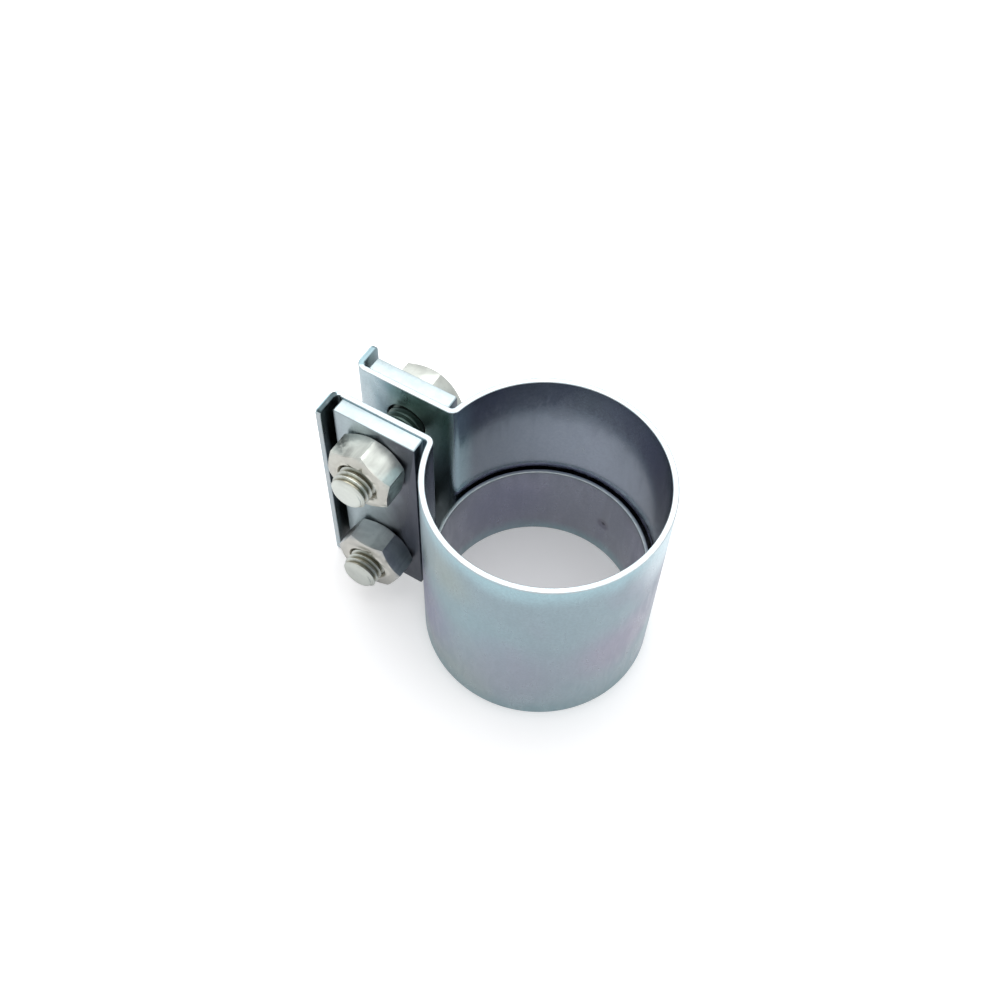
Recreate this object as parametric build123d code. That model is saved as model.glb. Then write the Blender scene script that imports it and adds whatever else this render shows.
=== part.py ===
from build123d import *
from math import radians, sqrt, tan
import os

# Exhaust clamp, mm. The origin is the centre of the lower pipe opening, +Z runs up the bore,
# the ears point to -X, the nuts are on the -Y side and the bolt heads on the +Y side.

# Band: one strip of sheet, rolled round and folded out into two ears with turned lips.
band_outer_radius = 30.0
band_height = 62.5
sheet_thickness = 1.5
ear_gap = 8.0
bend_inside_radius = 1.0
fold_inside_radius = 1.2
ear_flat_length = 24.0
lip_overhang = 2.8
lip_corner_radius = 1.2

# Sleeve: a thinner full ring in the band's lower end, held by a spot weld.
sleeve_gap = 0.8
sleeve_thickness = 1.2
sleeve_height = 27.0
weld_angle = 78.8
weld_height = 12.7
weld_radius = 2.2

# Clamping plates: flat bars outside the ears, on the flat between the ear's two bends.
plate_thickness = 4.0
plate_side_gap = 0.4
plate_end_inset = 0.5
plate_corner_radius = 0.6

# Fasteners: two M10 hexagon bolts with nuts.
bolt_spacing = 38.0
bolt_diameter = 10.0
bolt_end_reach = 5.0
head_height = 6.4
across_flats = 17.0
round_face_diameter = 16.15
nut_height = 8.0
thread_clearance = 0.05
hole_clearance = 0.5
chamfer_angle = 30.0
bolt_end_chamfer = 1.2
nut_mouth_chamfer = 0.5
upper_nut_turn = 22.9
lower_nut_turn = 1.6
upper_head_turn = 10.0
lower_head_turn = 40.0

# Sizes that follow from the ones above.
half_sheet = sheet_thickness / 2
band_inner_radius = band_outer_radius - sheet_thickness
ear_middle_y = ear_gap / 2 + half_sheet
ear_outer_y = ear_gap / 2 + sheet_thickness
plate_outer_y = ear_outer_y + plate_thickness
bolt_length = 2 * plate_outer_y + nut_height + bolt_end_reach
sleeve_outer_radius = band_inner_radius - sleeve_gap
ring_middle_radius = band_outer_radius - half_sheet
bend_middle_radius = bend_inside_radius + half_sheet
fold_middle_radius = fold_inside_radius + half_sheet
bend_centre_y = ear_middle_y + bend_middle_radius
bend_centre_x = -sqrt((ring_middle_radius + bend_middle_radius) ** 2 - bend_centre_y**2)
fold_centre_x = bend_centre_x - ear_flat_length
fold_centre_y = ear_middle_y + fold_middle_radius
lip_middle_x = fold_centre_x - fold_middle_radius
lip_end_y = plate_outer_y + lip_overhang
plate_x = bend_centre_x - ear_flat_length / 2
plate_width = ear_flat_length - 2 * plate_side_gap
plate_length = band_height - 2 * plate_end_inset
bolt_low_z = (band_height - bolt_spacing) / 2
bolt_high_z = (band_height + bolt_spacing) / 2


def standing_cylinder(radius, height):
    """A round bar on the XY plane, along +Z."""
    return Cylinder(radius, height, align=(Align.CENTER, Align.CENTER, Align.MIN))


def strip_face(offset):
    """One face of the sheet, at an offset outwards from the strip's middle line, end to end."""
    bend_centre = Vector(bend_centre_x, bend_centre_y)
    fold_centre = Vector(fold_centre_x, fold_centre_y)
    ring = ring_middle_radius + offset
    bend = bend_middle_radius - offset
    fold = fold_middle_radius - offset
    to_ring = -bend_centre.normalized()
    to_ear = Vector(0, -1)
    to_lip = Vector(-1, 0)
    lip_end = Vector(lip_middle_x + offset, lip_end_y)
    ring_start = bend_centre + to_ring * bend
    half_side = [
        Line(lip_end, fold_centre + to_lip * fold),
        ThreePointArc(
            fold_centre + to_lip * fold,
            fold_centre + (to_lip + to_ear).normalized() * fold,
            fold_centre + to_ear * fold,
        ),
        Line(fold_centre + to_ear * fold, bend_centre + to_ear * bend),
        ThreePointArc(
            bend_centre + to_ear * bend,
            bend_centre + (to_ear + to_ring).normalized() * bend,
            ring_start,
        ),
    ]
    other_side = [mirror(edge, about=Plane.XZ) for edge in half_side]
    ring_arc = ThreePointArc(ring_start, (ring, 0), (ring_start.X, -ring_start.Y))
    return half_side + [ring_arc] + other_side


def hexagon(height):
    """A hexagonal bar on the XY plane, corners on the X axis, both ends free."""
    return extrude(RegularPolygon(across_flats / 2, 6, major_radius=False), height)


def corner_cone(height, top, bottom):
    """The turned outline that takes the corners off a hexagon at its top or bottom face."""
    corner = across_flats / sqrt(3)
    face = round_face_diameter / 2
    drop = (corner - face) * tan(radians(chamfer_angle))
    lower = [(face, 0), (corner, drop)] if bottom else [(corner, 0)]
    upper = [(corner, height - drop), (face, height)] if top else [(corner, height)]
    outline = Polyline((0, 0), *lower, *upper, (0, height), close=True)
    return revolve(Plane.XZ * make_face(outline), Axis.Z)


def bolt(turn):
    """Hexagon bolt along +Z: the head stands below the XY plane, the shank above it."""
    head = Pos(0, 0, -head_height) * (hexagon(head_height) & corner_cone(head_height, False, True))
    shank = standing_cylinder(bolt_diameter / 2, bolt_length)
    shank = chamfer(shank.edges().sort_by(Axis.Z)[-1], bolt_end_chamfer)
    return Rot(0, 0, turn) * (head + shank)


def nut(turn):
    """Hexagon nut along +Z, chamfered on both faces, standing on the XY plane."""
    body = hexagon(nut_height) & corner_cone(nut_height, True, True)
    bore_radius = bolt_diameter / 2 + thread_clearance
    body -= standing_cylinder(bore_radius, nut_height)
    circles = body.edges().filter_by(GeomType.CIRCLE)
    mouths = circles.filter_by(lambda edge: abs(edge.radius - bore_radius) < 0.01)
    body = chamfer(mouths, nut_mouth_chamfer)
    return Rot(0, 0, turn) * body


def bolt_holes(solid):
    """Drill the two bolt holes through an ear or a plate."""
    for z in (bolt_low_z, bolt_high_z):
        drill = Cylinder(bolt_diameter / 2 + hole_clearance, 4 * band_outer_radius, rotation=(90, 0, 0))
        solid -= Pos(plate_x, 0, z) * drill
    return solid


def spot_weld():
    """The weld nugget that joins the sleeve's outside to the band's inside."""
    rod = Rot(0, 90, 0) * standing_cylinder(weld_radius, band_outer_radius)
    space = Cylinder(band_inner_radius, 4 * weld_radius) - Cylinder(sleeve_outer_radius, 4 * weld_radius)
    return Pos(0, 0, weld_height) * ((Rot(0, 0, weld_angle) * rod) & space)


# Band, with the corners of its lips rounded.
lip_ends = [
    Line((lip_middle_x - half_sheet, side * lip_end_y), (lip_middle_x + half_sheet, side * lip_end_y))
    for side in (1, -1)
]
section = make_face(strip_face(half_sheet) + strip_face(-half_sheet) + lip_ends)
band = extrude(section, band_height)
lip_corners = [
    edge
    for edge in band.edges().filter_by(Axis.X)
    if abs(abs(edge.center().Y) - lip_end_y) < 0.01
]
band = fillet(lip_corners, lip_corner_radius)
band = bolt_holes(band)

sleeve = standing_cylinder(sleeve_outer_radius, sleeve_height)
sleeve -= standing_cylinder(sleeve_outer_radius - sleeve_thickness, sleeve_height)

plate_block = Box(plate_width, plate_thickness, plate_length)
plate_block = fillet(plate_block.edges().filter_by(Axis.Y), plate_corner_radius)
plate_middle_y = ear_outer_y + plate_thickness / 2
nut_side_plate = bolt_holes(Pos(plate_x, -plate_middle_y, band_height / 2) * plate_block)
head_side_plate = bolt_holes(Pos(plate_x, plate_middle_y, band_height / 2) * plate_block)

# The bolts come in from the +Y side and the nuts stand on the nut side plate, both along -Y.
towards_nuts = Rot(90, 0, 0)
nodes = {
    "clamp_band": band,
    "inner_sleeve": sleeve,
    "sleeve_spot_weld": spot_weld(),
    "nut_side_plate": nut_side_plate,
    "head_side_plate": head_side_plate,
    "upper_bolt": Pos(plate_x, plate_outer_y, bolt_high_z) * towards_nuts * bolt(upper_head_turn),
    "lower_bolt": Pos(plate_x, plate_outer_y, bolt_low_z) * towards_nuts * bolt(lower_head_turn),
    "upper_nut": Pos(plate_x, -plate_outer_y, bolt_high_z) * towards_nuts * nut(upper_nut_turn),
    "lower_nut": Pos(plate_x, -plate_outer_y, bolt_low_z) * towards_nuts * nut(lower_nut_turn),
}

os.makedirs("parts", exist_ok=True)
for name, shape in nodes.items():
    export_step(shape, f"parts/{name}.step")
    print(name, len(shape.solids()), round(shape.volume, 1), shape.bounding_box())
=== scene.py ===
"""Exhaust clamp: a rolled steel band with two bolted ears, a thin sleeve inside and M10 fasteners.

Lengths are in metres. The origin is the centre of the lower pipe opening, +Z runs up the bore, the ears
point to -X, the nuts are on the -Y side and the bolt heads on the +Y side.
"""

import math
from types import SimpleNamespace

import bmesh
import bpy
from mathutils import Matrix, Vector


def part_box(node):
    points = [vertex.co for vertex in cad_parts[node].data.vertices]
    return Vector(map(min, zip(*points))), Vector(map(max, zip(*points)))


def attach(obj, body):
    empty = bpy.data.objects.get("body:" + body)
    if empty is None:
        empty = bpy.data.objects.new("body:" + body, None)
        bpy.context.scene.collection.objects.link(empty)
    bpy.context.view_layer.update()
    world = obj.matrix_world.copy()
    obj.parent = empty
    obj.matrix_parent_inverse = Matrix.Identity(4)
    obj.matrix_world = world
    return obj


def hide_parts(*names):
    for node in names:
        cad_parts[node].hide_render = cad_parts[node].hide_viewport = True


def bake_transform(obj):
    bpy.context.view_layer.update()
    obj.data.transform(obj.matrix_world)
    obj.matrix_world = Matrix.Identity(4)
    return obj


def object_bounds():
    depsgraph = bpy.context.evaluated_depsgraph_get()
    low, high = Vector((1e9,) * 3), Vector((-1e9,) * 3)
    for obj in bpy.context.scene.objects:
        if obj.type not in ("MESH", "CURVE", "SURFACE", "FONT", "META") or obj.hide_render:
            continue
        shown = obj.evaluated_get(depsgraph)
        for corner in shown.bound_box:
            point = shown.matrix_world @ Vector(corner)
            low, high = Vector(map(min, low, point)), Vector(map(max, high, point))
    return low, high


bl_info = {
    "name": "Exhaust Clamp",
    "version": (1, 0, 0),
    "blender": (4, 5, 0),
    "location": "View3D > Sidebar > Clamp",
    "description": "Builds a bolted exhaust clamp piece by piece on its CAD frame",
    "category": "Add Mesh",
}

MM = 0.001
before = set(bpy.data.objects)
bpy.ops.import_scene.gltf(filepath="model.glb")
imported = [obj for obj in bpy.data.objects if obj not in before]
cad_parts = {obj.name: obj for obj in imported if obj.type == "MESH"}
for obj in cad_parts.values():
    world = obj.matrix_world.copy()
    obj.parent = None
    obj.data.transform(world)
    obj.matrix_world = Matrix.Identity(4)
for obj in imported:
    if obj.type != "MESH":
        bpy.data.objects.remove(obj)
cad_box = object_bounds()
band_low, band_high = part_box("clamp_band")
sleeve_low, sleeve_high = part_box("inner_sleeve")


# Sizes and colours


def length(name, description, default):
    """A length in metres, entered as millimetres."""
    return bpy.props.FloatProperty(
        name=name, description=description, default=default * MM, unit="LENGTH", subtype="DISTANCE", precision=5
    )


def angle(name, description, default):
    """An angle, entered in degrees."""
    return bpy.props.FloatProperty(
        name=name, description=description, default=math.radians(default), unit="ROTATION", subtype="ANGLE"
    )


def colour(name, description, default):
    """A surface colour, as linear red, green and blue."""
    return bpy.props.FloatVectorProperty(
        name=name, description=description, default=default, size=3, min=0, max=1, subtype="COLOR"
    )


def share(name, description, default):
    """A number from 0 to 1."""
    return bpy.props.FloatProperty(name=name, description=description, default=default, min=0, max=1, subtype="FACTOR")


class BandSizes(bpy.types.PropertyGroup):
    """The rolled strip and its two ears."""

    outer_radius: length("Outer radius", "Radius of the rolled band's outside", band_high.x / MM)
    height: length("Height", "Width of the strip, along the bore", band_high.z / MM)
    sheet: length("Sheet thickness", "Thickness of the strip", 1.5)
    ear_gap: length("Ear gap", "Open gap between the two ears", 8.0)
    bend_inside: length("Bend radius", "Inside radius of the bend from ring to ear", 1.0)
    fold_inside: length("Fold radius", "Inside radius of the fold from ear to lip", 1.2)
    ear_flat: length("Ear flat", "Flat length of an ear between its two bends", 24.0)
    lip_overhang: length("Lip overhang", "How far a lip stands past its plate", 2.8)
    lip_corner: length("Lip corner radius", "Rounding of a lip's two corners", 1.2)
    edge_round: length("Edge rounding", "Rounding of the strip's cut edges", 0.28)
    # The painted reflection of the sleeve's rim, a lighter line on the inside wall, lies between these two heights.
    reflection_low: length("Rubbed line, low", "Where the line rubbed by the pipe's end starts", 27.0)
    reflection_high: length("Rubbed line, high", "Where the line rubbed by the pipe's end stops", 28.9)


class SleeveSizes(bpy.types.PropertyGroup):
    """The thin ring inside the band's lower end, and its spot weld."""

    gap: length("Gap", "Gap between the band's inside and the sleeve's outside", 0.8)
    wall: length("Wall", "Thickness of the sleeve", 1.2)
    height: length("Height", "Length of the sleeve along the bore", sleeve_high.z / MM)
    edge_round: length("Edge rounding", "Rounding of the sleeve's rims", 0.3)
    weld_angle: angle("Weld angle", "Where the spot weld is, round the bore", 78.8)
    weld_height: length("Weld height", "Height of the spot weld", 12.7)
    weld_radius: length("Weld mark radius", "Radius of the electrode's mark", 1.5)
    weld_depth: length("Weld mark depth", "Depth of the electrode's mark", 0.3)


class PlateSizes(bpy.types.PropertyGroup):
    """The two flat clamping plates outside the ears."""

    thickness: length("Thickness", "Thickness of a plate", 4.0)
    side_gap: length("Side gap", "Gap from a plate's long edges to the ear's bends", 0.4)
    end_inset: length("End inset", "How far a plate stays inside the band's rims", 0.5)
    corner: length("Corner radius", "Rounding of the plate's corners", 0.6)
    edge_round: length("Edge rounding", "Rounding of the plate's edges", 0.22)


class FastenerSizes(bpy.types.PropertyGroup):
    """The two hexagon bolts and their nuts."""

    spacing: length("Spacing", "Distance between the two bolts", 38.0)
    diameter: length("Diameter", "Nominal thread diameter", 10.0)
    pitch: length("Pitch", "Thread pitch", 1.5)
    thread_depth: length("Thread depth", "Height of a thread ridge", 0.86)
    end_reach: length("End reach", "How far a bolt stands past its nut", 5.0)
    end_chamfer: length("End chamfer", "Chamfer of the bolt's end", 1.2)
    head_height: length("Head height", "Height of the bolt head", 6.4)
    dish_radius: length("Dish radius", "Radius of the shallow dish in a bolt head", 5.6)
    dish_depth: length("Dish depth", "Depth of the shallow dish in a bolt head", 0.35)
    across_flats: length("Across flats", "Width of head and nut across flats", 17.0)
    face_radius: length("Face radius", "Radius of the round face inside the chamfer", 8.075)
    nut_height: length("Nut height", "Height of the nut", 8.0)
    nut_bore: length("Nut bore radius", "Radius of the nut's bore", 5.05)
    mouth: length("Nut mouth", "Width of the countersink at a nut's mouth", 0.62)
    hole_clearance: length("Hole clearance", "Gap round the bolt in its hole", 0.5)
    edge_round: length("Edge rounding", "Rounding of the hexagons' edges", 0.32)
    upper_nut_turn: angle("Upper nut turn", "How far the upper nut is turned", 22.9)
    lower_nut_turn: angle("Lower nut turn", "How far the lower nut is turned", 1.6)
    upper_head_turn: angle("Upper head turn", "How far the upper bolt's head is turned", 10.0)
    lower_head_turn: angle("Lower head turn", "How far the lower bolt's head is turned", 40.0)


class Finish(bpy.types.PropertyGroup):
    """Colours and gloss of the plated steel, and the colours of its painted shade and painted highlights."""

    zinc: colour("Zinc", "Blue-grey zinc plating", (0.36, 0.46, 0.51))
    lilac: colour("Lilac", "Lilac tint in the plating", (0.40, 0.38, 0.48))
    violet: colour("Violet", "Deeper violet tint in the plating", (0.36, 0.37, 0.52))
    teal: colour("Teal", "Teal tint in the plating near the rims", (0.29, 0.42, 0.46))
    straw: colour("Straw", "Pale straw-green tint in the plating", (0.42, 0.48, 0.43))
    cut_edge: colour("Cut edge", "Bare, bright cut edges of the sheet", (0.54, 0.59, 0.61))
    inside: colour("Inside", "Duller slate plating inside the ring", (0.39, 0.43, 0.51))
    # Recess is painted shade between the ears, on the inside wall towards the ears and on the plates' narrow sides by
    # the lip folds; it also darkens the lips.
    recess: colour("Recess", "Dark plating in the folds and between the ears", (0.04, 0.06, 0.065))
    moss: colour("Moss", "Green tint between the ears", (0.46, 0.64, 0.58))
    # Bright is used for painted highlights: a patch high on the band's outside and the outer ends of the ears' facing
    # sides.
    bright: colour("Bright", "Brighter, less tinted plating", (0.62, 0.73, 0.77))
    sleeve: colour("Sleeve", "Darker plating inside the sleeve", (0.275, 0.288, 0.34))
    plate: colour("Plate", "Plating on the clamping plates", (0.50, 0.59, 0.62))
    # Purple shade is painted shade: on the plates towards the band, on the right of the ring's inside wall and on the
    # lower nut's flats.
    purple_shade: colour("Plate shade", "Purple-grey plating where a plate meets the band", (0.09, 0.09, 0.12))
    fastener: colour("Fastener", "Satin plating on bolts and nuts", (0.60, 0.63, 0.59))
    warm: colour("Warm", "Warmer plating on the nuts' outer faces", (0.68, 0.66, 0.60))
    thread_oil: colour("Thread oil", "Olive-brown oil in the thread roots", (0.26, 0.235, 0.16))
    weld: colour("Weld", "Blued steel of the spot weld", (0.10, 0.09, 0.12))
    band_roughness: share("Band roughness", "Roughness of the band's plating", 0.34)
    plate_roughness: share("Plate roughness", "Roughness of the plates", 0.38)
    fastener_roughness: share("Fastener roughness", "Roughness of bolts and nuts", 0.33)


class StageSettings(bpy.types.PropertyGroup):
    """Camera, floor and light."""

    camera_place: bpy.props.FloatVectorProperty(
        name="Camera place",
        description="Where the camera stands",
        default=(0.06911961, -0.14704911, 0.29770877),
        size=3,
        unit="LENGTH",
        subtype="TRANSLATION",
    )
    camera_turn: bpy.props.FloatVectorProperty(
        name="Camera turn",
        description="How the camera is turned",
        default=(math.radians(33.50392391), math.radians(-1.31286744), math.radians(31.04226639)),
        size=3,
        unit="ROTATION",
        subtype="EULER",
    )
    lens: bpy.props.FloatProperty(
        name="Lens", description="Focal length in millimetres", default=44.8589, unit="CAMERA"
    )
    floor: colour("Floor", "Colour of the floor", (0.80, 0.80, 0.81))
    # The glows below change with distance from the clamp, which paints the floor darker inside the ring and lighter
    # farther out.
    ring_glow: share("Glow in the ring", "White that the camera adds to the floor inside the ring", 0.27)
    floor_glow: share("Floor glow", "White that the camera adds to the floor beside the clamp", 0.46)
    horizon_glow: share("Outer glow", "White that the camera adds to that farther away", 0.24)
    floor_mirror: share("Floor in mirrors", "White that mirrored rays add to the floor", 0.25)
    sky_light: share("Sky light", "Strength of the even light from all round", 0.36)
    key_light: bpy.props.FloatProperty(name="Key light", description="Power of the top lamp", default=3.9, unit="POWER")
    side_light: bpy.props.FloatProperty(name="Side light", description="Power of the side lamp", default=0.6, unit="POWER")


def layout(scene):
    """Places that follow from the sizes: the strip's middle line, the plates and the bolts."""
    band, sleeve, plate, fastener = scene.clamp_band, scene.clamp_sleeve, scene.clamp_plate, scene.clamp_fastener
    half = band.sheet / 2
    place = SimpleNamespace()
    place.ring = band.outer_radius - half
    place.ear_y = band.ear_gap / 2 + half
    place.bend = band.bend_inside + half
    place.fold = band.fold_inside + half
    place.bend_y = place.ear_y + place.bend
    place.bend_x = -math.sqrt((place.ring + place.bend) ** 2 - place.bend_y**2)
    place.fold_x = place.bend_x - band.ear_flat
    place.fold_y = place.ear_y + place.fold
    place.plate_inner_y = band.ear_gap / 2 + band.sheet
    place.plate_outer_y = place.plate_inner_y + plate.thickness
    place.lip_end_y = place.plate_outer_y + band.lip_overhang
    place.bend_angle = math.acos(place.bend_y / (place.ring + place.bend))
    place.ring_half = math.pi - math.atan2(place.bend_y, -place.bend_x)
    place.hole_x = place.bend_x - band.ear_flat / 2
    place.low_z = (band.height - fastener.spacing) / 2
    place.high_z = (band.height + fastener.spacing) / 2
    place.hole_radius = fastener.diameter / 2 + fastener.hole_clearance
    place.sleeve_outer = band.outer_radius - band.sheet - sleeve.gap
    place.sleeve_inner = place.sleeve_outer - sleeve.wall
    place.bolt_length = 2 * place.plate_outer_y + fastener.nut_height + fastener.end_reach
    return place


# Modelling by hand, in code


def clear_selection():
    """Nothing is selected and no piece is being edited."""
    if bpy.context.object and bpy.context.object.mode != "OBJECT":
        bpy.ops.object.mode_set(mode="OBJECT")
    bpy.ops.object.select_all(action="DESELECT")


def edit(piece):
    """Open one piece in edit mode, with nothing in its mesh selected."""
    clear_selection()
    bpy.context.view_layer.objects.active = piece
    piece.select_set(True)
    bpy.ops.object.mode_set(mode="EDIT")
    bpy.ops.mesh.select_all(action="DESELECT")


def choose(kind, test):
    """Select the faces, edges or vertices of the edited mesh that pass a test."""
    bpy.ops.mesh.select_mode(type=kind)
    bpy.ops.mesh.select_all(action="DESELECT")
    mesh = bmesh.from_edit_mesh(bpy.context.object.data)
    found = {"VERT": mesh.verts, "EDGE": mesh.edges, "FACE": mesh.faces}[kind]
    count = 0
    for element in found:
        if test(element):
            element.select = True
            count += 1
    if not count:
        raise RuntimeError(f"nothing in {bpy.context.object.name} passes the test")
    mesh.select_flush_mode()
    bmesh.update_edit_mesh(bpy.context.object.data)
    return count


def middle(element):
    """The middle of an edge or face."""
    return sum((v.co for v in element.verts), Vector()) / len(element.verts)


def push(move):
    """Extrude what is selected by a move."""
    bpy.ops.mesh.extrude_region_move(TRANSFORM_OT_translate={"value": move})


def sweep(x, y, turn, steps):
    """Turn the selected end face about an upright axis, drawing the strip after it. Positive is anticlockwise."""
    bpy.ops.mesh.spin(steps=steps, angle=-turn, center=(x, y, 0), axis=(0, 0, 1))


def settle(piece, merge=1e-7):
    """Merge doubled points, turn the faces outwards and leave edit mode."""
    edit(piece)
    bpy.ops.mesh.select_all(action="SELECT")
    bpy.ops.mesh.remove_doubles(threshold=merge)
    bpy.ops.mesh.normals_make_consistent(inside=False)
    clear_selection()


def apply_place(piece):
    """Put the piece's place, turn and scale into its mesh."""
    clear_selection()
    bpy.context.view_layer.objects.active = piece
    piece.select_set(True)
    bpy.ops.object.transform_apply(location=True, rotation=True, scale=True)


def apply_modifier(piece, kind, **settings):
    """Add a modifier, set it and apply it."""
    clear_selection()
    bpy.context.view_layer.objects.active = piece
    piece.select_set(True)
    bpy.ops.object.modifier_add(type=kind)
    modifier = piece.modifiers[-1]
    for key, value in settings.items():
        setattr(modifier, key, value)
    bpy.ops.object.modifier_apply(modifier=modifier.name)


def carve(piece, tool, operation="DIFFERENCE"):
    """Cut, join or keep the common part of a piece and a tool, and throw the tool away."""
    apply_modifier(piece, "BOOLEAN", operation=operation, solver="EXACT", object=tool)
    bpy.data.objects.remove(tool, do_unlink=True)


def soften(piece, width, segments=3, limit=30):
    """Round the sharp edges and shade the piece smooth."""
    apply_modifier(
        piece,
        "BEVEL",
        width=width,
        segments=segments,
        limit_method="ANGLE",
        angle_limit=math.radians(limit),
        harden_normals=False,
        use_clamp_overlap=True,
    )
    clear_selection()
    bpy.context.view_layer.objects.active = piece
    piece.select_set(True)
    bpy.ops.object.shade_smooth_by_angle(angle=math.radians(limit))


def new_piece(name):
    """The primitive just added, under its own name."""
    piece = bpy.context.object
    piece.name = name
    piece.data.name = name
    return piece


def rod(name, radius, low, high, sides=96):
    """A round bar along Z."""
    clear_selection()
    bpy.ops.mesh.primitive_cylinder_add(
        vertices=sides, radius=radius, depth=high - low, location=(0, 0, (low + high) / 2), end_fill_type="NGON"
    )
    piece = new_piece(name)
    apply_place(piece)
    return piece


def flare(piece, top, reach, radius_scale):
    """Extrude the top or bottom face of a bar by a reach, and widen or narrow it."""
    edit(piece)
    sign = 1 if top else -1
    choose("FACE", lambda f: f.normal.z * sign > 0.99)
    push((0, 0, sign * reach))
    bpy.ops.transform.resize(value=(radius_scale, radius_scale, 1), center_override=(0, 0, 0))
    clear_selection()


def drill_tool(place, x, z):
    """The round tool for a bolt hole, along Y."""
    tool = rod("drill", place.hole_radius, -0.05, 0.05, 72)
    tool.rotation_euler = (math.radians(90), 0, 0)
    tool.location = (x, 0, z)
    apply_place(tool)
    return tool


def finish_piece(piece, node, body, material):
    """Give a piece its material, hide the CAD node that it stands for and let it ride on its body."""
    if material:
        piece.data.materials.clear()
        piece.data.materials.append(material)
    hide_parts(node)
    if body:
        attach(piece, body)


# Materials


class Nodes:
    """A small writer for node trees."""

    def __init__(self, name):
        self.material = bpy.data.materials.new(name)
        self.material.use_nodes = True
        self.tree = self.material.node_tree
        self.tree.nodes.clear()
        self.output = self.add("ShaderNodeOutputMaterial")
        self.place = self.add("ShaderNodeTexCoord").outputs["Object"]

    def add(self, kind, inputs=None, **settings):
        """Add a node, set its properties, and set or link its inputs."""
        node = self.tree.nodes.new(kind)
        for key, value in settings.items():
            setattr(node, key, value)
        for key, value in (inputs or {}).items():
            if isinstance(value, bpy.types.NodeSocket):
                self.tree.links.new(value, node.inputs[key])
            else:
                node.inputs[key].default_value = value
        return node

    def noise(self, scale, detail=3.0, stretch=(1, 1, 1), shift=(0, 0, 0), distortion=0.0):
        """Noise on the piece's own coordinates, from 0 to 1. Scale is in features per metre."""
        mapping = self.add("ShaderNodeMapping", {"Vector": self.place, "Scale": stretch, "Location": shift})
        inputs = {"Vector": mapping.outputs[0], "Scale": scale, "Detail": detail, "Distortion": distortion}
        return self.add("ShaderNodeTexNoise", inputs).outputs["Fac"]

    def ramp(self, value, low, high, to_low=0.0, to_high=1.0):
        """Map a range of a value smoothly to another range."""
        inputs = {"Value": value, "From Min": low, "From Max": high, "To Min": to_low, "To Max": to_high}
        return self.add("ShaderNodeMapRange", inputs, interpolation_type="SMOOTHSTEP").outputs[0]

    def maths(self, operation, a, b=0.0):
        """A sum, product or other simple result of two numbers."""
        return self.add("ShaderNodeMath", {0: a, 1: b}, operation=operation).outputs[0]

    def mix(self, factor, a, b, blend="MIX"):
        """Mix two colours."""
        node = self.add("ShaderNodeMix", data_type="RGBA", blend_type=blend)
        for socket, value in ((node.inputs[0], factor), (node.inputs[6], a), (node.inputs[7], b)):
            if isinstance(value, bpy.types.NodeSocket):
                self.tree.links.new(value, socket)
            else:
                socket.default_value = value
        return node.outputs[2]

    def axes(self):
        """The three coordinates of a point on the piece."""
        node = self.add("ShaderNodeSeparateXYZ", {"Vector": self.place})
        return node.outputs[0], node.outputs[1], node.outputs[2]

    def between(self, value, low, high, soft):
        """1 where a value lies between two limits, with a soft edge inside each."""
        rise = self.ramp(value, low, low + soft)
        fall = self.ramp(value, high - soft, high, 1.0, 0.0)
        return self.maths("MULTIPLY", rise, fall)

    def radius(self, a, b, centre=(0.0, 0.0)):
        """Distance from an axis through a centre, from the two coordinates across it."""
        da = self.maths("SUBTRACT", a, centre[0])
        db = self.maths("SUBTRACT", b, centre[1])
        squares = self.maths("ADD", self.maths("MULTIPLY", da, da), self.maths("MULTIPLY", db, db))
        return self.maths("SQRT", squares)

    def product(self, first, *others):
        """The product of several numbers."""
        for other in others:
            first = self.maths("MULTIPLY", first, other)
        return first

    def near(self, point, inner, outer):
        """1 near a point and 0 away from it."""
        node = self.add("ShaderNodeVectorMath", {0: self.place, 1: point}, operation="DISTANCE")
        return self.ramp(node.outputs["Value"], inner, outer, 1.0, 0.0)

    def bump(self, height, distance, strength=1.0):
        """Small relief from a height."""
        inputs = {"Height": height, "Distance": distance, "Strength": strength}
        return self.add("ShaderNodeBump", inputs).outputs[0]

    def metal(self, base, roughness, normal):
        """A metal surface, as the material's result."""
        inputs = {"Base Color": base, "Roughness": roughness, "Normal": normal, "Metallic": 1.0}
        shader = self.add("ShaderNodeBsdfPrincipled", inputs)
        self.tree.links.new(shader.outputs[0], self.output.inputs[0])
        return self.material


def rgba(value, gain=1.0):
    """A colour property as four numbers."""
    return (value[0] * gain, value[1] * gain, value[2] * gain, 1.0)


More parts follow.
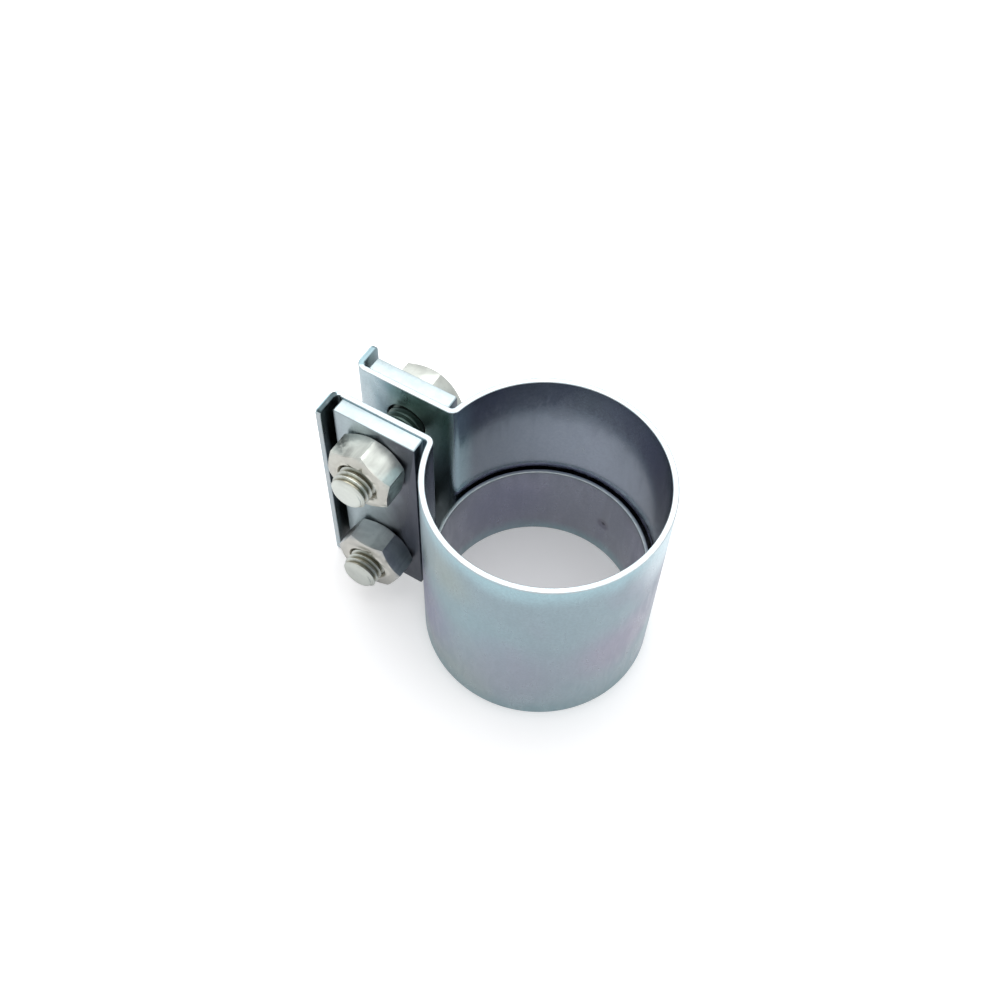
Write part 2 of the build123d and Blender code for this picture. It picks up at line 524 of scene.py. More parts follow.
def plating(name, finish, base, roughness, tint=1.0, rim=0.0, height=0.0, marks=(), shade=None):
    """Zinc plating with a soft rainbow tint: lilac and straw clouds, teal near the bottom rim and a brighter teal near
    the top rim as a painted highlight, fine grain and scuffs.
    """
    n = Nodes(name)
    clouds = n.noise(38.0, 2.0, stretch=(1, 1, 0.7), shift=(0.31, 0.12, 0.05), distortion=0.6)
    drift = n.noise(24.0, 2.0, stretch=(1, 1, 0.8), shift=(1.7, 0.4, 0.9), distortion=0.4)
    tone = n.mix(n.ramp(clouds, 0.48, 0.70, 0.0, 0.55 * tint), rgba(base), rgba(finish.lilac))
    tone = n.mix(n.ramp(drift, 0.54, 0.72, 0.0, 0.35 * tint), tone, rgba(finish.straw))
    if rim:
        x, y, z = n.axes()
        wander = n.noise(70.0, 2.0, shift=(0.2, 0.8, 0.4))
        level = n.maths("ADD", z, n.maths("MULTIPLY", n.maths("SUBTRACT", wander, 0.5), 0.008))
        low = n.ramp(level, 0.0, rim, 0.85, 0.0)
        high = n.ramp(level, height - rim, height, 0.0, 0.85)
        # Near the top rim the teal is raised to 1.6 times: a painted highlight along the rim.
        tone = n.mix(high, n.mix(low, tone, rgba(finish.teal)), rgba(finish.teal, 1.6))
    for point, inner, outer, stain, strength in marks:
        tone = n.mix(n.maths("MULTIPLY", n.near(point, inner, outer), strength), tone, stain)
    gloss = 0.0
    if shade:
        tone, gloss = shade(n, tone)
    grain = n.noise(1500.0, 3.0)
    rolled = n.noise(900.0, 2.0, stretch=(1, 1, 0.06))
    scuffs = n.noise(260.0, 5.0, stretch=(1, 1, 0.35), distortion=1.2)
    tone = n.mix(n.ramp(scuffs, 0.58, 0.76, 0.0, 0.12), tone, rgba(finish.cut_edge))
    tone = n.mix(n.ramp(grain, 0.35, 0.65, 0.10, 0.0), tone, (0.05, 0.06, 0.08, 1.0))
    rough = n.maths("ADD", n.ramp(scuffs, 0.35, 0.75, -0.05, 0.10), n.ramp(grain, 0.3, 0.7, roughness - 0.03, roughness + 0.03))
    rough = n.maths("MULTIPLY", rough, n.maths("SUBTRACT", 1.0, gloss))
    relief = n.maths("ADD", n.maths("MULTIPLY", grain, 0.6), n.maths("MULTIPLY", rolled, 0.4))
    return n.metal(tone, rough, n.bump(relief, 0.00002, 0.5))


def cut_steel(name, finish, gain=1.0):
    """The cut edge of the sheet: bright, with fine shear lines across it."""
    n = Nodes(name)
    lines = n.noise(2600.0, 2.0, stretch=(1, 1, 0.05))
    worn = n.noise(420.0, 4.0, distortion=0.8)
    tone = n.mix(n.ramp(worn, 0.40, 0.70, 0.0, 0.5), rgba(finish.cut_edge, gain), rgba(finish.zinc, 1.3 * gain))
    rough = n.ramp(worn, 0.3, 0.7, 0.34, 0.5)
    return n.metal(tone, rough, n.bump(lines, 0.00003, 0.6))


def fastener_steel(name, finish, centre, dirty, shade=None):
    """Satin plating on bolts and nuts. dirty gives the radii and the places along Y between which oil has settled."""
    n = Nodes(name)
    x, y, z = n.axes()
    clouds = n.noise(170.0, 3.0, distortion=0.6)
    brushed = n.noise(700.0, 3.0, stretch=(1, 0.12, 1), distortion=0.3)
    specks = n.noise(1300.0, 4.0)
    dents = n.noise(380.0, 3.0, distortion=0.4)
    tone = n.mix(n.ramp(clouds, 0.36, 0.66), rgba(finish.fastener, 1.12), rgba(finish.fastener, 0.80))
    tone = n.mix(n.ramp(brushed, 0.52, 0.72, 0.0, 0.35), tone, rgba(finish.fastener, 0.62))
    tone = n.mix(n.ramp(specks, 0.62, 0.76, 0.0, 0.30), tone, rgba(finish.fastener, 0.5))
    if shade:
        tone = shade(n, tone)
    reach = n.radius(x, z, centre)
    inner, outer, far, close = dirty
    dirt = n.product(n.ramp(reach, inner, outer, 1.0, 0.0), n.between(y, far, close, 0.5 * MM), 0.75)
    tone = n.mix(dirt, tone, rgba(finish.thread_oil))
    rough = n.ramp(specks, 0.3, 0.7, finish.fastener_roughness - 0.05, finish.fastener_roughness + 0.09)
    relief = n.maths("ADD", n.maths("MULTIPLY", dents, 0.7), n.maths("MULTIPLY", specks, 0.3))
    return n.metal(tone, rough, n.bump(relief, 0.00006, 0.5))


def weld_steel(name, finish):
    """Blued, slightly uneven steel of the spot weld."""
    n = Nodes(name)
    heat = n.noise(700.0, 3.0, distortion=1.0)
    tone = n.mix(n.ramp(heat, 0.35, 0.65), rgba(finish.weld), rgba(finish.lilac, 0.5))
    return n.metal(tone, n.ramp(heat, 0.3, 0.7, 0.4, 0.6), n.bump(heat, 0.00008, 0.7))


# Pieces


class CLAMP_OT_band(bpy.types.Operator):
    """Draw the strip along its path: lip, fold, ear, bend, ring, and the same back"""

    bl_idname = "clamp.band"
    bl_label = "Band"

    def execute(self, context):
        size, place, finish = context.scene.clamp_band, layout(context.scene), context.scene.clamp_finish
        clear_selection()
        bpy.ops.mesh.primitive_plane_add(size=1, rotation=(math.radians(90), 0, 0))
        band = new_piece("band_strip")
        apply_place(band)
        edit(band)
        bpy.ops.mesh.select_all(action="SELECT")
        bpy.ops.transform.resize(value=(size.sheet, 1, size.height), center_override=(0, 0, 0))
        bpy.ops.transform.translate(value=(place.fold_x - place.fold, place.lip_end_y, size.height / 2))
        lip_length = place.lip_end_y - place.fold_y
        ring_turn = 2 * place.ring_half
        push((0, -lip_length, 0))
        sweep(place.fold_x, place.fold_y, math.radians(90), 14)
        push((size.ear_flat, 0, 0))
        sweep(place.bend_x, place.bend_y, place.bend_angle, 14)
        sweep(0, 0, -ring_turn, 184)
        sweep(place.bend_x, -place.bend_y, place.bend_angle, 14)
        push((-size.ear_flat, 0, 0))
        sweep(place.fold_x, -place.fold_y, math.radians(90), 14)
        push((0, -lip_length, 0))
        settle(band)

        edit(band)
        choose(
            "EDGE",
            lambda e: abs(e.verts[0].co.x - e.verts[1].co.x) > size.sheet / 2
            and all(abs(abs(v.co.y) - place.lip_end_y) < 1e-6 for v in e.verts),
        )
        bpy.ops.mesh.bevel(offset=size.lip_corner, segments=7, affect="EDGES")
        clear_selection()
        for z in (place.low_z, place.high_z):
            carve(band, drill_tool(place, place.hole_x, z))
        soften(band, size.edge_round)

        marks = [
            ((-0.006, -0.029, 0.030), 0.004, 0.024, rgba(finish.teal, 1.25), 0.6),
            ((0.0275, -0.012, 0.026), 0.003, 0.018, rgba(finish.lilac), 0.8),
            ((-0.021, -0.0215, 0.022), 0.004, 0.021, rgba(finish.violet), 0.85),
            ((0.008, -0.029, 0.020), 0.004, 0.022, rgba(finish.lilac), 0.45),
            ((-0.0103, -0.0282, 0.051), 0.001, 0.012, rgba(finish.straw), 0.5),
            # Painted highlight: a lit patch high on the band's outside, on the right.
            ((0.0295, 0.006, 0.058), 0.005, 0.019, rgba(finish.bright, 1.3), 0.9),
        ]
        skin = plating(
            "band plating", finish, finish.zinc, finish.band_roughness, rim=0.008, height=size.height, marks=marks,
            shade=lambda n, tone: self.shade_and_highlights(n, tone, size, place, finish),
        )
        band.data.materials.append(skin)
        band.data.materials.append(cut_steel("cut edge of the band", finish))
        edit(band)
        choose("FACE", lambda f: self.is_cut_edge(f, size, place))
        band.active_material_index = 1
        bpy.ops.object.material_slot_assign()
        clear_selection()

        finish_piece(band, "clamp_band", None, None)
        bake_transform(band)
        return {"FINISHED"}

    def shade_and_highlights(self, n, tone, size, place, finish):
        """Slate plating inside the ring with painted shade towards the ears and on the right, a painted highlight at
        the bend, a painted reflection of the sleeve's rim, a painted highlight on the ears' facing sides with painted
        shade low down between the ears, and darker lips in their folds.
        """
        x, y, z = n.axes()
        side = n.maths("ABSOLUTE", y)
        reach = n.radius(x, y)
        inside = n.product(n.ramp(reach, place.ring - 0.3 * MM, place.ring, 1.0, 0.0), 0.9)
        tone = n.mix(inside, tone, rgba(finish.inside))
        # Painted shade on the inside wall, darker towards the ears.
        ear_shade = n.product(inside, n.ramp(x, -0.029, 0.004, 0.5, 0.0))
        tone = n.mix(ear_shade, tone, rgba(finish.recess))
        # Painted shade on the right of the inside wall, in a purple-grey.
        right_wall_shade = n.product(inside, n.ramp(x, 0.010, 0.028, 0.0, 0.7))
        tone = n.mix(right_wall_shade, tone, rgba(finish.purple_shade, 0.9))
        # Painted highlight: a lighter teal stripe on the inside wall at the head-side bend.
        bend = n.product(inside, n.between(x, -0.0300, -0.0262, 1.9 * MM), n.ramp(y, 0.003, 0.006, 0.0, 0.7))
        tone = n.mix(bend, tone, rgba(finish.teal, 1.5))
        # Painted reflection of the sleeve's rim: a lighter violet line on the inside wall just above the sleeve.
        rubbed = n.product(inside, n.between(z, size.reflection_low, size.reflection_high, 0.5 * MM))
        tone = n.mix(n.product(rubbed, 0.8), tone, rgba(finish.violet, 1.5))
        facing = n.product(n.ramp(side, place.ear_y - 0.3 * MM, place.ear_y, 1.0, 0.0), n.ramp(x, -0.030, -0.028, 1.0, 0.0))
        # On the ears' facing sides: a painted highlight towards their outer ends and a green tint higher up towards the
        # ring.
        tone = n.mix(n.product(facing, n.ramp(x, -0.049, -0.046, 0.8, 0.0)), tone, rgba(finish.bright))
        top = n.ramp(z, 0.036, 0.050)
        tone = n.mix(n.product(facing, n.ramp(x, -0.049, -0.044), top, 0.7), tone, rgba(finish.moss))
        # Painted shade low down between the ears.
        gap_shade = n.product(facing, n.ramp(z, 0.016, 0.046, 0.6, 0.0))
        tone = n.mix(gap_shade, tone, rgba(finish.recess, 0.6))
        # Darker on the lips, more on the nut side than on the head side.
        lip_x = n.between(x, place.fold_x - place.fold - 0.55 * MM, place.fold_x + 0.4 * MM, 0.3 * MM)
        lip_y = n.between(side, place.ear_y + 0.2 * MM, place.lip_end_y - 0.1 * MM, 0.3 * MM)
        lips = n.product(lip_x, lip_y, n.ramp(y, -0.001, 0.001, 0.92, 0.5))
        gloss = n.product(inside, n.maths("SUBTRACT", 0.45, n.product(rubbed, 0.7)))
        return n.mix(lips, tone, rgba(finish.recess, 0.5)), gloss

    def is_cut_edge(self, face, size, place):
        """True for the rims and the lips' ends, with the rounding between them and the skin."""
        point = middle(face)
        near_rim = min(point.z, size.height - point.z) < size.edge_round * 0.99
        on_lip = point.x < place.fold_x + 0.3 * MM and abs(point.y) > place.ear_y + 0.4 * MM
        if on_lip:
            return abs(point.y) > place.lip_end_y - size.edge_round and abs(face.normal.x) < 0.9
        return near_rim

    def follows_nut_side(self, point, place):
        """0 from the head-side ear round most of the ring, rising to 1 where the nut-side ear begins."""
        if point.x < place.bend_x * 0.9 and abs(point.y) < abs(place.bend_y) * 2.2:
            along = 1.0 if point.y < 0 else 0.0
            if math.hypot(point.x, point.y) > place.ring * 1.03:
                return along
        turned = -math.atan2(point.y, point.x)
        start = math.radians(40)
        along = (turned - start) / (place.ring_half - start)
        return max(0.0, min(1.0, along)) ** 9


class CLAMP_OT_sleeve(bpy.types.Operator):
    """Raise the thin sleeve inside the band and press the spot weld's mark into it"""

    bl_idname = "clamp.sleeve"
    bl_label = "Sleeve"

    def execute(self, context):
        size, place, finish = context.scene.clamp_sleeve, layout(context.scene), context.scene.clamp_finish
        clear_selection()
        bpy.ops.mesh.primitive_circle_add(vertices=176, radius=place.sleeve_outer - size.wall / 2, fill_type="NOTHING")
        sleeve = new_piece("sleeve_ring")
        edit(sleeve)
        bpy.ops.mesh.select_mode(type="EDGE")
        bpy.ops.mesh.select_all(action="SELECT")
        push((0, 0, size.height))
        clear_selection()
        settle(sleeve)
        apply_modifier(sleeve, "SOLIDIFY", thickness=size.wall, offset=0.0, use_even_offset=True)
        out = Vector((math.cos(size.weld_angle), math.sin(size.weld_angle), 0))
        deep, wide = size.weld_depth, size.weld_radius
        ball = (wide * wide + deep * deep) / (2 * deep)
        clear_selection()
        bpy.ops.mesh.primitive_uv_sphere_add(segments=64, ring_count=48, radius=ball)
        electrode = new_piece("electrode tip")
        centre = out * (place.sleeve_inner + deep - ball)
        electrode.location = (centre.x, centre.y, size.weld_height)
        apply_place(electrode)
        carve(sleeve, electrode)
        soften(sleeve, size.edge_round, limit=35)
        mark = (out.x * place.sleeve_inner, out.y * place.sleeve_inner, size.weld_height)
        marks = [
            # The first two marks are painted shade, darker violet on the sleeve's right and left sides; the last two
            # are the weld's mark.
            ((0.024, 0.010, 0.016), 0.004, 0.022, rgba(finish.violet, 0.55), 0.7),
            ((-0.021, 0.015, 0.014), 0.004, 0.020, rgba(finish.violet, 0.6), 0.6),
            (mark, wide * 0.9, wide * 1.7, (0.16, 0.15, 0.19, 1.0), 0.55),
            (mark, wide * 0.15, wide * 0.6, (0.03, 0.03, 0.04, 1.0), 0.85),
        ]
        skin = plating(
            "sleeve plating", finish, finish.sleeve, finish.band_roughness, tint=0.9, rim=0.006,
            height=1.0, marks=marks,
        )
        finish_piece(sleeve, "inner_sleeve", "clamp_body", skin)
        # The sleeve's cut edge is the band's cut edge at 0.6: a darker copy as painted shade inside the band.
        sleeve.data.materials.append(cut_steel("cut edge of the sleeve", finish, 0.6))
        edit(sleeve)
        choose("FACE", lambda f: min(middle(f).z, size.height - middle(f).z) < size.edge_round * 0.99)
        sleeve.active_material_index = 1
        bpy.ops.object.material_slot_assign()
        clear_selection()
        return {"FINISHED"}


class CLAMP_OT_spot_weld(bpy.types.Operator):
    """Give the spot weld between sleeve and band its blued steel"""

    bl_idname = "clamp.spot_weld"
    bl_label = "Spot weld"

    def execute(self, context):
        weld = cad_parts["sleeve_spot_weld"]
        weld.data.materials.clear()
        weld.data.materials.append(weld_steel("blued weld", context.scene.clamp_finish))
        return {"FINISHED"}


class CLAMP_OT_plates(bpy.types.Operator):
    """Cut the two clamping plates, drill them and break their edges"""

    bl_idname = "clamp.plates"
    bl_label = "Plates"

    def execute(self, context):
        size, place, finish = context.scene.clamp_plate, layout(context.scene), context.scene.clamp_finish
        band = context.scene.clamp_band
        wide = band.ear_flat - 2 * size.side_gap
        tall = band.height - 2 * size.end_inset
        skin = plating(
            "plate plating", finish, finish.plate, finish.plate_roughness, tint=0.5,
            shade=lambda n, tone: self.sides(n, tone, band, place, finish),
        )
        for side, name, node, body in (
            (-1, "nut_side_bar", "nut_side_plate", "nut_side_plate"),
            (1, "head_side_bar", "head_side_plate", "clamp_body"),
        ):
            clear_selection()
            bpy.ops.mesh.primitive_cube_add(size=1)
            bar = new_piece(name)
            edit(bar)
            bpy.ops.mesh.select_all(action="SELECT")
            bpy.ops.transform.resize(value=(wide, size.thickness, tall), center_override=(0, 0, 0))
            middle_y = side * (place.plate_inner_y + size.thickness / 2)
            bpy.ops.transform.translate(value=(place.hole_x, middle_y, band.height / 2))
            choose("EDGE", lambda e: abs(e.verts[0].co.y - e.verts[1].co.y) > size.thickness / 2)
            bpy.ops.mesh.bevel(offset=size.corner, segments=6, affect="EDGES")
            clear_selection()
            for z in (place.low_z, place.high_z):
                carve(bar, drill_tool(place, place.hole_x, z))
            soften(bar, size.edge_round)
            finish_piece(bar, node, body, skin)
        return {"FINISHED"}


    def sides(self, n, tone, band, place, finish):
        """Painted shade: purple-grey towards the band and dark on the narrow side by the lip's fold, on all but the
        ends, which keep a plain plate colour at 0.82.
        """
        x, y, z = n.axes()
        below = n.between(z, 0.6 * MM, band.height - 0.75 * MM, 0.15 * MM)
        wander = n.noise(120.0, 2.0, shift=(0.6, 0.1, 0.2))
        level = n.maths("ADD", x, n.maths("MULTIPLY", n.maths("SUBTRACT", wander, 0.5), 0.008))
        tone = n.mix(below, rgba(finish.plate, 0.82), tone)
        # Painted shade towards the band.
        band_shade = n.product(n.ramp(level, -0.047, -0.035, 0.0, 0.9), below)
        tone = n.mix(band_shade, tone, rgba(finish.purple_shade))
        # Painted shade on the narrow side that faces the lip's fold.
        lip_side_shade = n.product(n.ramp(x, place.hole_x - 0.01155, place.hole_x - 0.01130, 0.85, 0.0), below)
        return n.mix(lip_side_shade, tone, rgba(finish.recess)), 0.0


def hexagon(name, size, tall, low, turn, top, bottom):
    """A hexagonal bar along Z whose corners are turned off at its top, bottom or both."""
    corner = size.across_flats / math.sqrt(3)
    drop = (corner - size.face_radius) * math.tan(math.radians(30))
    clear_selection()
    bpy.ops.mesh.primitive_cylinder_add(
        vertices=6, radius=corner, depth=tall, location=(0, 0, low + tall / 2), rotation=(0, 0, turn + math.radians(30))
    )
    bar = new_piece(name)
    apply_place(bar)
    start = low + (drop if bottom else -0.001)
    end = low + tall - (drop if top else -0.001)
    turned = rod("turned outline", corner * 1.0005, start, end, 120)
    narrow = size.face_radius / corner
    if top:
        flare(turned, True, drop, narrow)
    if bottom:
        flare(turned, False, drop, narrow)
    carve(bar, turned, "INTERSECT")
    return bar


def threaded_shank(size, place):
    """A bar along Z with a right-hand thread, its end turned to a chamfer and a slight dome."""
    crest = size.diameter / 2 - 0.04 * MM
    root = crest - size.thread_depth
    clear_selection()
    bpy.ops.mesh.primitive_plane_add(size=0.001)
    shank = new_piece("threaded shank")
    edit(shank)
    bpy.ops.mesh.select_all(action="SELECT")
    bpy.ops.mesh.merge(type="CENTER")
    bpy.ops.mesh.select_mode(type="VERT")
    bpy.ops.mesh.select_all(action="SELECT")
    bpy.ops.transform.translate(value=(root, 0, -2 * size.pitch))
    flank = size.pitch * 5 / 16
    push((0, 0, size.pitch / 8))
    push((crest - root, 0, flank))
    push((0, 0, size.pitch / 8))
    push((root - crest, 0, flank))
    push((0, 0, size.pitch / 8))
    clear_selection()
    turns = math.ceil(place.bolt_length / size.pitch) + 4
    apply_modifier(
        shank,
        "SCREW",
        angle=math.radians(360),
        screw_offset=size.pitch,
        iterations=turns,
        steps=40,
        render_steps=40,
        use_merge_vertices=False,
        use_normal_calculate=True,
    )
    settle(shank, merge=1e-6)
    edit(shank)
    for height, direction in ((-size.pitch * 0.5, -1), (place.bolt_length + size.pitch * 0.5, 1)):
        bpy.ops.mesh.select_all(action="SELECT")
        bpy.ops.mesh.bisect(plane_co=(0, 0, height), plane_no=(0, 0, direction), use_fill=True, clear_outer=True)
    settle(shank, merge=1e-7)
    blank = rod("turned blank", size.diameter / 2, 0, place.bolt_length - size.end_chamfer, 96)
    narrow = (size.diameter / 2 - size.end_chamfer) / (size.diameter / 2)
    flare(blank, True, size.end_chamfer * 0.8, narrow)
    flare(blank, True, size.end_chamfer * 0.13, 0.86)
    flare(blank, True, size.end_chamfer * 0.07, 0.72)
    carve(shank, blank, "INTERSECT")
    return shank


class CLAMP_OT_bolts(bpy.types.Operator):
    """Thread one shank, copy it, and set a hexagon head on each copy"""

    bl_idname = "clamp.bolts"
    bl_label = "Bolts"

    def execute(self, context):
        size, place, finish = context.scene.clamp_fastener, layout(context.scene), context.scene.clamp_finish
        pattern = threaded_shank(size, place)
        for name, node, z, turn in (
            ("upper_hexagon_bolt", "upper_bolt", place.high_z, size.upper_head_turn),
            ("lower_hexagon_bolt", "lower_bolt", place.low_z, size.lower_head_turn),
        ):
            clear_selection()
            bpy.context.view_layer.objects.active = pattern
            pattern.select_set(True)
            bpy.ops.object.duplicate(linked=False)
            bolt = new_piece(name)
            bearing = 0.35 * MM
            head = hexagon("hexagon head", size, size.head_height - bearing, -size.head_height, turn, False, True)
            dish = rod("dish", size.dish_radius, -size.head_height - 1 * MM, -size.head_height, 96)
            flare(dish, True, size.dish_depth, 1 - 1.5 * size.dish_depth / size.dish_radius)
            carve(head, dish)
            soften(head, size.edge_round)
            collar = rod("washer face", size.across_flats / 2 - 0.4 * MM, -bearing - 0.001, 0.0, 96)
            carve(head, collar, "UNION")
            carve(bolt, head, "UNION")
            bolt.rotation_euler = (math.radians(90), 0, 0)
            bolt.location = (place.hole_x, place.plate_outer_y, z)
            apply_place(bolt)
            clear_selection()
            bpy.context.view_layer.objects.active = bolt
            bolt.select_set(True)
            bpy.ops.object.shade_smooth_by_angle(angle=math.radians(32))
            crest = size.diameter / 2
            bolt_end = place.plate_outer_y - place.bolt_length
            dirty = (crest - size.thread_depth, crest - 0.2 * MM, bolt_end + 0.7 * MM, -place.plate_outer_y)
            skin = fastener_steel(
                f"{name} plating", finish, (place.hole_x, z), dirty, lambda n, tone: self.gap_shade_end_highlight(n, tone, place, finish)
            )
            finish_piece(bolt, node, "clamp_body", skin)
        bpy.data.objects.remove(pattern, do_unlink=True)
        return {"FINISHED"}

    def gap_shade_end_highlight(self, n, tone, place, finish):
        """Painted shade on the shank between the ears, a dull dark green; a darker head; and a painted highlight on the
        end, stronger on the upper bolt.
        """
        x, y, z = n.axes()
        inside = n.between(y, -place.plate_outer_y, place.plate_outer_y, 1 * MM)
        # Painted shade: the shank between the ears is mixed towards a dark green.
        tone = n.mix(n.maths("MULTIPLY", inside, 0.92), tone, rgba(finish.moss, 0.22))
        head = n.ramp(y, place.plate_outer_y + 0.3 * MM, place.plate_outer_y + 1 * MM, 0.0, 0.5)
        tone = n.mix(head, tone, rgba(finish.fastener, 0.72))
        bolt_end = place.plate_outer_y - place.bolt_length
        # Painted highlight on the bolt's end, at 1.45 on the upper bolt and 1.05 on the lower.
        end = n.ramp(y, bolt_end + 0.5 * MM, bolt_end + 1.2 * MM, 0.7, 0.0)
        low = n.ramp(z, 0.020, 0.040)
        return n.mix(end, tone, n.mix(low, rgba(finish.fastener, 1.05), rgba(finish.fastener, 1.45)))


class CLAMP_OT_nuts(bpy.types.Operator):
    """Turn two hexagon nuts, chamfered on both faces, with a countersunk bore"""

    bl_idname = "clamp.nuts"
    bl_label = "Nuts"

    def execute(self, context):
        size, place, finish = context.scene.clamp_fastener, layout(context.scene), context.scene.clamp_finish
        for name, node, z, turn in (
            ("upper_hexagon_nut", "upper_nut", place.high_z, size.upper_nut_turn),
            ("lower_hexagon_nut", "lower_nut", place.low_z, size.lower_nut_turn),
        ):
            nut = hexagon(name, size, size.nut_height, 0, turn, True, True)
            tool = rod("countersink", size.nut_bore, size.mouth, size.nut_height - size.mouth, 96)
            wider = (size.nut_bore + size.mouth) / size.nut_bore
            flare(tool, True, size.mouth, wider)
            flare(tool, True, 1 * MM, 1.0)
            flare(tool, False, size.mouth, wider)
            flare(tool, False, 1 * MM, 1.0)
            carve(nut, tool)
            soften(nut, size.edge_round)
            nut.rotation_euler = (math.radians(90), 0, 0)
            nut.location = (place.hole_x, -place.plate_outer_y, z)
            apply_place(nut)
            mouth = size.nut_bore + size.mouth
            face = -place.plate_outer_y - size.nut_height
            dirty = (mouth - 0.15 * MM, mouth + 0.1 * MM, face - 1 * MM, face + size.nut_height)
            skin = fastener_steel(
                f"{name} plating", finish, (place.hole_x, z), dirty, lambda n, tone: self.warm_face_low_shade(n, tone, face, finish)
            )
            finish_piece(nut, node, node, skin)
        return {"FINISHED"}

    def warm_face_low_shade(self, n, tone, face, finish):
        """A warmer tone on the nut's outer face, and painted shade on the flats low down, on the lower nut."""
        x, y, z = n.axes()
        front = n.ramp(y, face + 0.1 * MM, face + 0.9 * MM, 0.65, 0.0)
        # Painted shade: the lower nut's flats are mixed towards a darker purple.
        low = n.ramp(z, 0.022, 0.038, 0.35, 0.0)
        tone = n.mix(low, tone, rgba(finish.purple_shade, 2.5))
        return n.mix(front, tone, rgba(finish.warm))


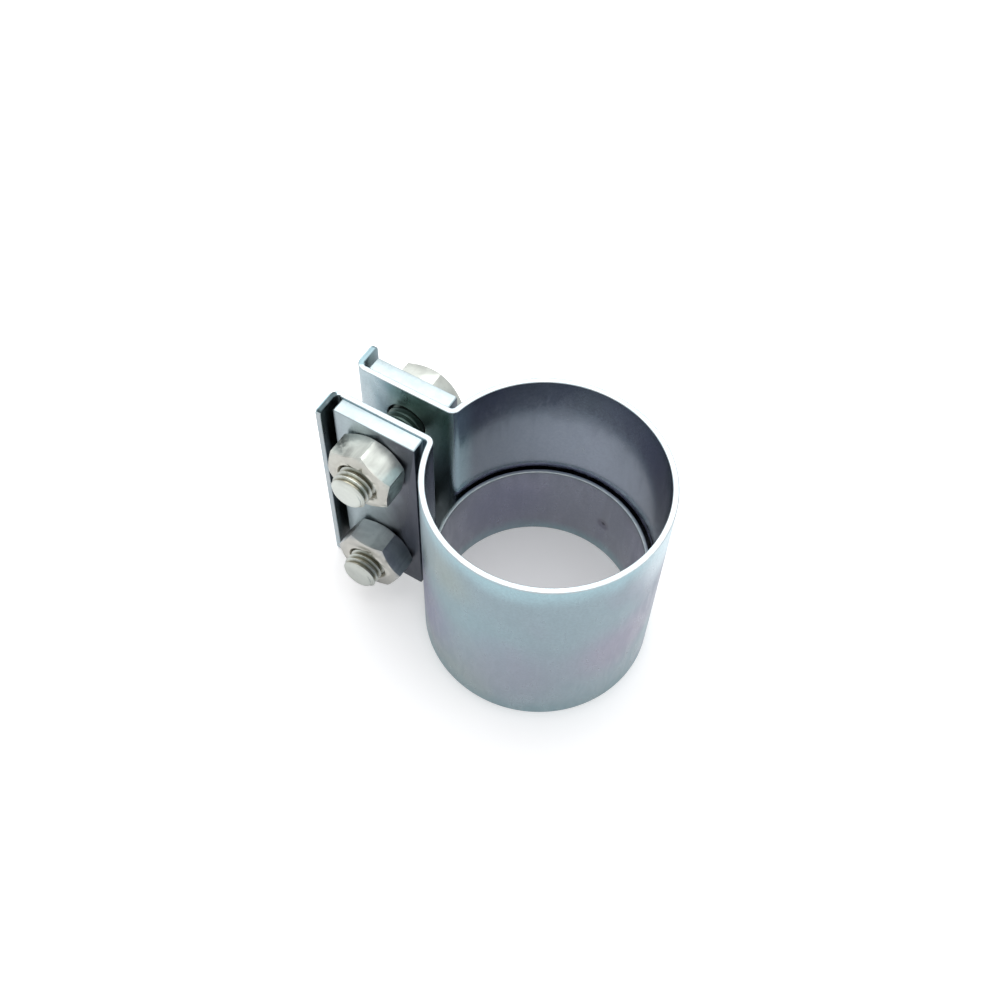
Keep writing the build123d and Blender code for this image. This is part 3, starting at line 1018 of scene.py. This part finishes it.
class CLAMP_OT_stage(bpy.types.Operator):
    """Lay the pale floor, hang the soft lamps and set the camera"""

    bl_idname = "clamp.stage"
    bl_label = "Stage"

    def execute(self, context):
        stage = context.scene.clamp_stage
        clear_selection()
        bpy.ops.mesh.primitive_plane_add(size=6, location=(0, 0, cad_box[0].z))
        floor = new_piece("floor")
        apply_place(floor)
        floor.data.materials.append(self.floor_material(stage))
        self.set_world(stage)
        self.add_lamp("top softbox", (-0.12, 0.20, 0.68), 0.80, 0.80, stage.key_light)
        self.add_lamp("side softbox", (0.55, 0.10, 0.33), 0.45, 0.45, stage.side_light)
        bpy.ops.object.camera_add(location=stage.camera_place, rotation=stage.camera_turn)
        camera = bpy.context.object
        camera.name = "camera"
        camera.data.sensor_width = 36
        camera.data.lens = stage.lens
        camera.data.clip_start = 0.01
        context.scene.camera = camera
        context.scene.view_settings.view_transform = "Standard"
        return {"FINISHED"}

    def seen(self, nodes, links, camera, mirrored):
        """One share for rays from the camera and another for mirrored and transmitted rays."""
        path = nodes.new("ShaderNodeLightPath")
        total = None
        for ray, strength in (("Is Camera Ray", camera), ("Is Glossy Ray", mirrored), ("Is Transmission Ray", mirrored)):
            part = nodes.new("ShaderNodeMath")
            part.operation = "MULTIPLY"
            links.new(path.outputs[ray], part.inputs[0])
            if isinstance(strength, bpy.types.NodeSocket):
                links.new(strength, part.inputs[1])
            else:
                part.inputs[1].default_value = strength
            if total:
                largest = nodes.new("ShaderNodeMath")
                largest.operation = "MAXIMUM"
                links.new(total, largest.inputs[0])
                links.new(part.outputs[0], largest.inputs[1])
                total = largest.outputs[0]
            else:
                total = part.outputs[0]
        return total

    def floor_material(self, stage):
        """A matt pale floor that keeps the shadow and looks white round it; its glow changes with distance, which
        paints the shade darker inside the ring and lighter away from the clamp.
        """
        material = bpy.data.materials.new("pale floor")
        material.use_nodes = True
        nodes, links = material.node_tree.nodes, material.node_tree.links
        nodes.clear()
        output = nodes.new("ShaderNodeOutputMaterial")
        matt = nodes.new("ShaderNodeBsdfDiffuse")
        matt.inputs["Color"].default_value = rgba(stage.floor)
        glow = nodes.new("ShaderNodeEmission")
        place = nodes.new("ShaderNodeTexCoord")
        away = nodes.new("ShaderNodeVectorMath")
        away.operation = "LENGTH"
        links.new(place.outputs["Object"], away.inputs[0])
        total = nodes.new("ShaderNodeMath")
        total.operation = "ADD"
        # The glow is smallest inside the ring and grows away from the clamp: painted shade inside the ring, and the
        # floor's shade fading to white sooner than the light alone would make it.
        for socket, kind, start, end, low, high in (
            (total.inputs[0], "SMOOTHSTEP", 0.027, 0.033, stage.ring_glow, stage.floor_glow),
            (total.inputs[1], "LINEAR", 0.033, 0.10, 0.0, stage.horizon_glow),
        ):
            spread = nodes.new("ShaderNodeMapRange")
            spread.interpolation_type = kind
            for key, value in (("From Min", start), ("From Max", end), ("To Min", low), ("To Max", high)):
                spread.inputs[key].default_value = value
            links.new(away.outputs["Value"], spread.inputs["Value"])
            links.new(spread.outputs[0], socket)
        links.new(self.seen(nodes, links, total.outputs[0], stage.floor_mirror), glow.inputs["Strength"])
        both = nodes.new("ShaderNodeAddShader")
        links.new(matt.outputs[0], both.inputs[0])
        links.new(glow.outputs[0], both.inputs[1])
        links.new(both.outputs[0], output.inputs[0])
        return material

    def set_world(self, stage):
        """White where it is seen, and a plain even light elsewhere."""
        world = bpy.data.worlds.new("studio")
        bpy.context.scene.world = world
        world.use_nodes = True
        nodes, links = world.node_tree.nodes, world.node_tree.links
        nodes.clear()
        output = nodes.new("ShaderNodeOutputWorld")
        background = nodes.new("ShaderNodeBackground")
        background.inputs["Color"].default_value = (1.0, 1.0, 1.0, 1.0)
        strength = nodes.new("ShaderNodeMapRange")
        strength.inputs["To Min"].default_value = stage.sky_light
        strength.inputs["To Max"].default_value = 1.0
        links.new(self.seen(nodes, links, 1.0, 1.0), strength.inputs["Value"])
        links.new(strength.outputs[0], background.inputs["Strength"])
        links.new(background.outputs[0], output.inputs[0])

    def add_lamp(self, name, place, wide, tall, power):
        """A rectangular softbox that looks at the clamp."""
        bpy.ops.object.light_add(type="AREA", location=place)
        lamp = bpy.context.object
        lamp.name = name
        lamp.data.shape = "RECTANGLE"
        lamp.data.size = wide
        lamp.data.size_y = tall
        lamp.data.energy = power
        aim = Vector((-0.01, 0, 0.03)) - Vector(place)
        lamp.rotation_euler = aim.to_track_quat("-Z", "Y").to_euler()


class CLAMP_PT_panel(bpy.types.Panel):
    """The clamp's pieces, one button each"""

    bl_idname = "CLAMP_PT_panel"
    bl_label = "Exhaust Clamp"
    bl_space_type = "VIEW_3D"
    bl_region_type = "UI"
    bl_category = "Clamp"

    def draw(self, context):
        for operator in operators:
            self.layout.operator(operator.bl_idname)
        for name in settings:
            box = self.layout.box()
            group = getattr(context.scene, name)
            for key in group.bl_rna.properties.keys():
                if key not in {"rna_type", "name"}:
                    box.prop(group, key)


settings = {
    "clamp_band": BandSizes,
    "clamp_sleeve": SleeveSizes,
    "clamp_plate": PlateSizes,
    "clamp_fastener": FastenerSizes,
    "clamp_finish": Finish,
    "clamp_stage": StageSettings,
}
operators = (
    CLAMP_OT_band,
    CLAMP_OT_sleeve,
    CLAMP_OT_spot_weld,
    CLAMP_OT_plates,
    CLAMP_OT_bolts,
    CLAMP_OT_nuts,
    CLAMP_OT_stage,
)


def register():
    """Register the settings, operators and panel."""
    for name, group in settings.items():
        bpy.utils.register_class(group)
        setattr(bpy.types.Scene, name, bpy.props.PointerProperty(type=group))
    for cls in (*operators, CLAMP_PT_panel):
        bpy.utils.register_class(cls)


def unregister():
    """Take the panel, operators and settings away again."""
    for cls in (CLAMP_PT_panel, *reversed(operators)):
        bpy.utils.unregister_class(cls)
    for name, group in settings.items():
        delattr(bpy.types.Scene, name)
        bpy.utils.unregister_class(group)


def main():
    """Build every piece."""
    register()
    bpy.ops.clamp.band()
    bpy.ops.clamp.sleeve()
    bpy.ops.clamp.spot_weld()
    bpy.ops.clamp.plates()
    bpy.ops.clamp.bolts()
    bpy.ops.clamp.nuts()
    bpy.ops.clamp.stage()


if __name__ == "__main__":
    main()
